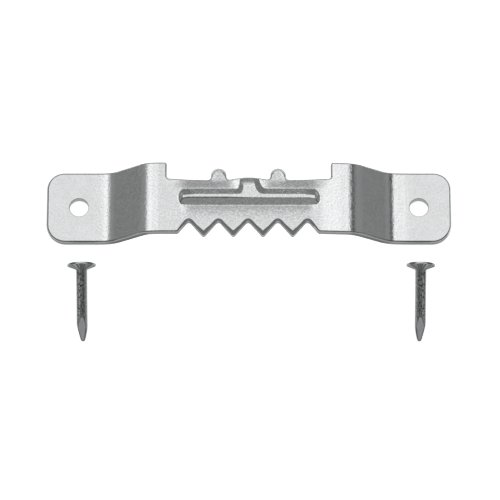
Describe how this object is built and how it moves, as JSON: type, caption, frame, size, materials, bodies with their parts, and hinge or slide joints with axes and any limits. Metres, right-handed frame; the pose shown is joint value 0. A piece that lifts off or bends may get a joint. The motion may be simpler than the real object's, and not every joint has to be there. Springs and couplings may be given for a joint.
{
  "type": "sawtooth picture hanger",
  "caption": "Bent sheet-steel picture hanger with a row of notches, a pressed T-shaped rib and nail-on tabs, laid out with its small flat-headed nails.",
  "frame": {"origin": "midway between the centres of the two nail holes, on the face that lies on the picture frame", "axes": "+X along the strip, +Y across it away from the teeth (up when the picture hangs), +Z out from the frame towards the wall"},
  "size_m": [0.045, 0.0197, 0.0046],
  "materials": {
    "plated_sheet": "bright zinc plate on cold-rolled sheet, satin, with a fine grain",
    "nail_wire": "dull dark steel wire, mottled from drawing and tumbling"
  },
  "bodies": {
    "strip": {"hanger_plate": "plated_sheet"},
    "left_nail": {"nail_left": "nail_wire"},
    "right_nail": {"nail_right": "nail_wire"}
  },
  "joints": [
    {"name": "nail_left_lift", "type": "slide", "parent": "strip", "child": "left_nail", "axis": [0, 0, 1], "range_m": [0, 0.02]},
    {"name": "nail_right_lift", "type": "slide", "parent": "strip", "child": "right_nail", "axis": [0, 0, 1], "range_m": [0, 0.02]}
  ]
}
